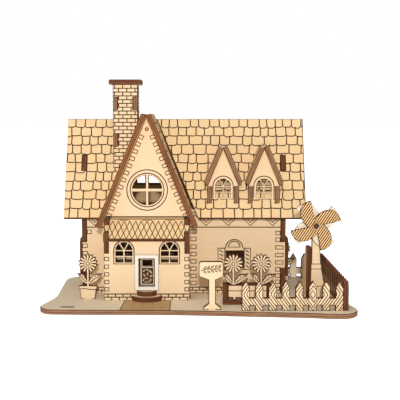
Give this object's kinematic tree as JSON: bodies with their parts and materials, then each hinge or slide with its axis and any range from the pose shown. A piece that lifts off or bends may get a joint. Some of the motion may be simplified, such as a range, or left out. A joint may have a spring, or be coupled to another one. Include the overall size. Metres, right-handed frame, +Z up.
{
  "type": "wooden 3d jigsaw model",
  "caption": "Laser-cut plywood cottage puzzle with a steep shingled roof, gabled porch, chimney, picket fence, garden and a turning toy windmill.",
  "frame": {"origin": "centre of the base board's box, on the underside that the model stands on", "axes": "+X to the right when facing the front door, +Y from the front door towards the back, +Z up"},
  "size_m": [0.1856, 0.1248, 0.1375],
  "materials": {
    "wall_ply": "bare pale basswood ply, laser-burnt brown edges and engraved lines",
    "roof_ply": "bare pale ply engraved with shingles, burnt brown edges",
    "board_ply": "bare ply, a little greyer, burnt brown edge",
    "trim_ply": "bare ply with wide burnt edges",
    "white_ply": "matt white paint on ply",
    "dowel": "dark burnt hardwood dowel"
  },
  "bodies": {
    "house": {"attic_floor": "wall_ply", "back_wall": "wall_ply", "base_board": "board_ply", "chimney_back": "wall_ply", "chimney_cap": "trim_ply", "chimney_front": "wall_ply", "chimney_left": "wall_ply", "chimney_right": "wall_ply", "door_frame": "white_ply", "dormer_left_cheek_left": "wall_ply", "dormer_left_cheek_right": "wall_ply", "dormer_left_roof_left": "roof_ply", "dormer_left_roof_right": "roof_ply", "dormer_left_wall": "wall_ply", "dormer_right_cheek_left": "wall_ply", "dormer_right_cheek_right": "wall_ply", "dormer_right_roof_left": "roof_ply", "dormer_right_roof_right": "roof_ply", "dormer_right_wall": "wall_ply", "fence_back": "wall_ply", "fence_front": "wall_ply", "fence_right": "wall_ply", "flower_pot_front": "wall_ply", "flower_pot_rear": "wall_ply", "front_wall": "wall_ply", "gable_roof_left": "roof_ply", "gable_roof_right": "roof_ply", "gable_wall": "wall_ply", "left_side_wall": "wall_ply", "main_roof_back": "roof_ply", "main_roof_front_left": "roof_ply", "main_roof_front_right": "roof_ply", "planter_back": "wall_ply", "planter_bottom": "wall_ply", "planter_flowers": "wall_ply", "planter_front": "wall_ply", "planter_left": "wall_ply", "planter_right": "wall_ply", "porch_ceiling": "wall_ply", "porch_front_wall": "wall_ply", "porch_left_wall": "wall_ply", "porch_right_wall": "wall_ply", "porch_roof": "roof_ply", "right_side_wall": "wall_ply", "sign_board": "wall_ply", "step_lower": "trim_ply", "step_upper": "trim_ply", "tower_brace": "wall_ply", "tower_front": "wall_ply", "window_frame_left": "wall_ply", "window_frame_right": "wall_ply"},
    "rotor": {"rotor_front": "wall_ply", "rotor_back": "wall_ply", "rotor_axle": "dowel", "rotor_cap": "dowel"},
    "door": {"door_leaf": "wall_ply"}
  },
  "joints": [
    {"name": "rotor_spin", "type": "hinge", "parent": "house", "child": "rotor", "pos_m": [0.0693, -0.038, 0.0507], "axis": [0, -1, 0], "continuous": true},
    {"name": "door_swing", "type": "hinge", "parent": "house", "child": "door", "pos_m": [-0.0346, -0.0212, 0.0203], "axis": [0, 0, 1], "range_deg": [0, 90]}
  ]
}
